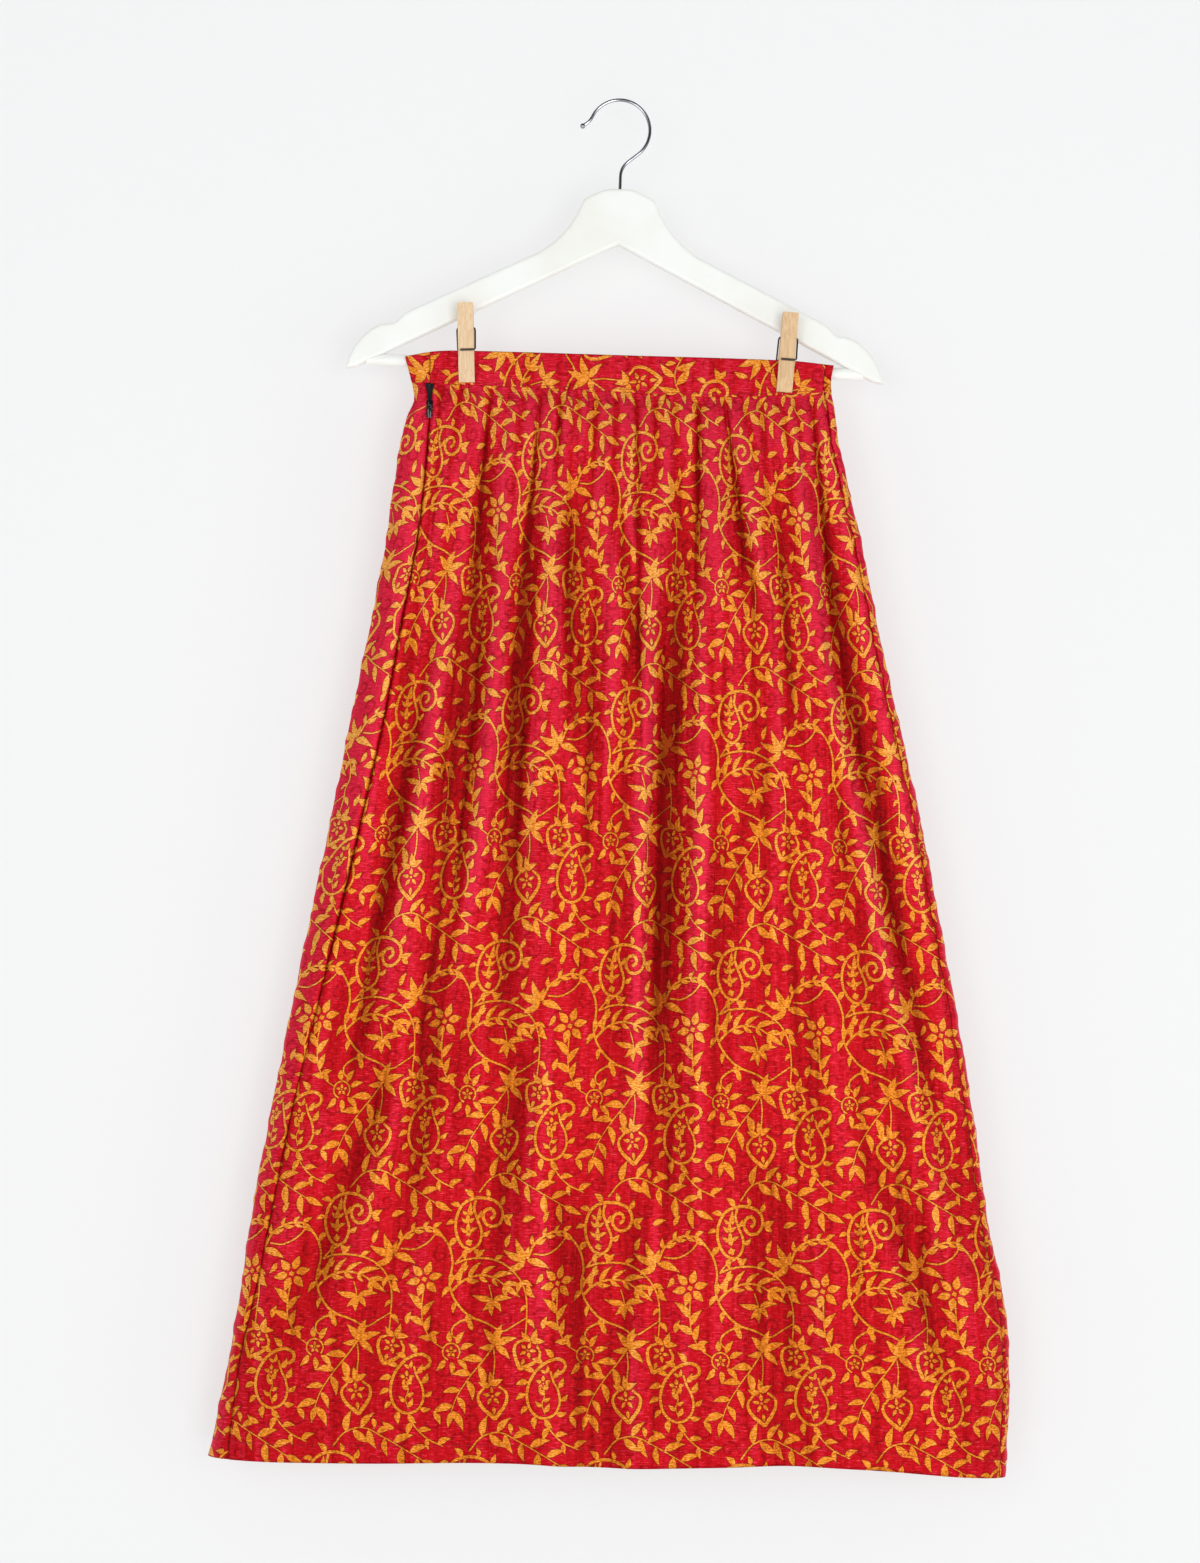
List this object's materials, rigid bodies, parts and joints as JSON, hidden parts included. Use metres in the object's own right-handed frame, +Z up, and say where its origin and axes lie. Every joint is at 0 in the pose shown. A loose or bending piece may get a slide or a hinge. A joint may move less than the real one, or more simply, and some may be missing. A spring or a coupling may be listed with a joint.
{
  "type": "a-line skirt pegged on a clothes hanger",
  "caption": "Long flared skirt of printed silk with a gathered waistband and a side zip, held flat by two spring pegs on the bar of a painted wooden hanger with a wire hook",
  "frame": {"origin": "where the hook hangs, on the inside of its top", "axes": "+X along the hanger, to the right of someone facing the skirt's front; +Y away from them, behind the skirt; +Z up"},
  "size_m": [0.663, 0.0637, 1.1332],
  "materials": {
    "silk": "crimson slubbed silk with a gold paisley print",
    "zip_tape": "black nylon coil and tape",
    "zip_metal": "glossy black lacquer",
    "white_paint": "white painted wood, satin",
    "hook_steel": "polished nickel-plated wire",
    "peg_wood": "bare pale wood",
    "spring_steel": "dull spring wire"
  },
  "bodies": {
    "skirt": {"front_panel": "silk", "back_panel": "silk", "waistband_front": "silk", "waistband_back": "silk", "zip_tape": "zip_tape", "zip_slider": "zip_metal", "hanger_wood": "white_paint", "trouser_bar": "white_paint", "hook": "hook_steel", "peg_left_front_leg": "peg_wood", "peg_left_back_leg": "peg_wood", "peg_left_spring": "spring_steel", "peg_right_front_leg": "peg_wood", "peg_right_back_leg": "peg_wood", "peg_right_spring": "spring_steel"},
    "zip_pull": {"zip_pull_tab": "zip_metal"}
  },
  "joints": [
    {"name": "zip_pull_swing", "type": "hinge", "parent": "skirt", "child": "zip_pull", "pos_m": [-0.15146, -0.01345, -0.2572], "axis": [-1, 0, 0], "range_deg": [0, 160]}
  ]
}
